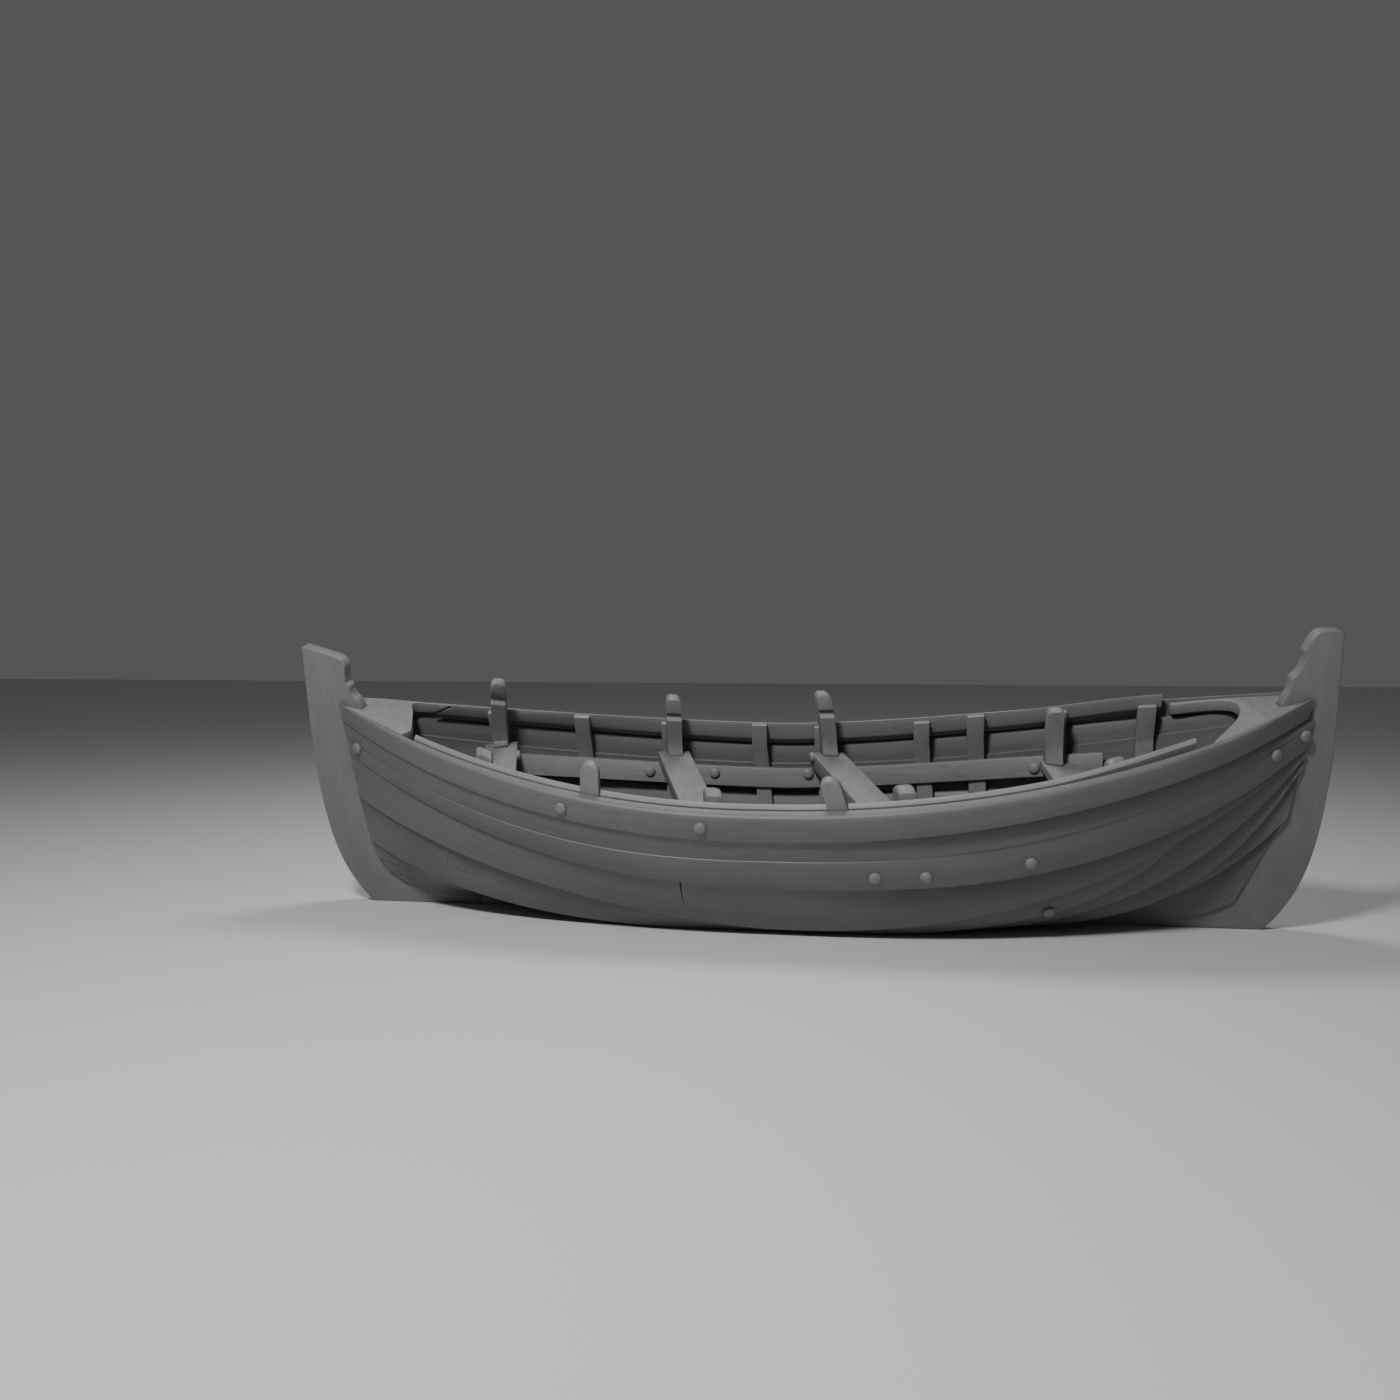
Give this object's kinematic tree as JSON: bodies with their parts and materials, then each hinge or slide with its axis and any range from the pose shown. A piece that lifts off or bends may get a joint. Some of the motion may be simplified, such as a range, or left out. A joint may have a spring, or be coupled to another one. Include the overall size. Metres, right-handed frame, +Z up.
{
  "type": "double-ended clinker rowboat",
  "caption": "Open double-ended clinker rowboat with tall carved end posts, racked thwarts, standing knees with horned heads, and a heeled resting pose on keel and bilge.",
  "frame": {"origin": "centre of the bounding box, on the floor that the keel and the starboard bilge rest on", "axes": "+X to the bow, +Y towards the port side, +Z up; the hull leans to starboard, towards -Y"},
  "size_m": [5.2516, 1.425, 1.5412],
  "materials": {
    "planking": "weathered grey wood",
    "backbone": "weathered grey wood",
    "fittings": "weathered grey wood"
  },
  "bodies": {
    "root": {"bow_post": "backbone", "breasthook_bow": "fittings", "breasthook_stern": "fittings", "garboard_port": "planking", "garboard_starboard": "planking", "inwale_port": "fittings", "inwale_starboard": "fittings", "keel": "backbone", "knee_1_port": "fittings", "knee_1_starboard": "fittings", "knee_2_port": "fittings", "knee_2_starboard": "fittings", "knee_3_port": "fittings", "knee_3_starboard": "fittings", "knee_4_port": "fittings", "knee_4_starboard": "fittings", "rib_1": "fittings", "rib_2": "fittings", "rib_3": "fittings", "rib_4": "fittings", "rib_5": "fittings", "riser_port": "fittings", "riser_starboard": "fittings", "stern_post": "backbone", "strake_2_port": "planking", "strake_2_starboard": "planking", "strake_3_port": "planking", "strake_3_starboard": "planking", "strake_4_port": "planking", "strake_4_starboard": "planking", "strake_5_stealer_port": "planking", "strake_5_stealer_starboard": "planking", "strake_6_port": "planking", "strake_6_starboard": "planking", "strake_7_port": "planking", "strake_7_starboard": "planking", "strake_8_port": "planking", "strake_8_starboard": "planking", "thole_plate_aft": "fittings", "thole_plate_fore": "fittings", "thwart_1": "fittings", "thwart_2": "fittings", "thwart_3": "fittings", "thwart_4": "fittings", "thwart_frame_1": "fittings", "thwart_frame_2": "fittings", "thwart_frame_3": "fittings", "thwart_frame_4": "fittings", "wale_port": "planking", "wale_starboard": "planking"}
  },
  "joints": []
}
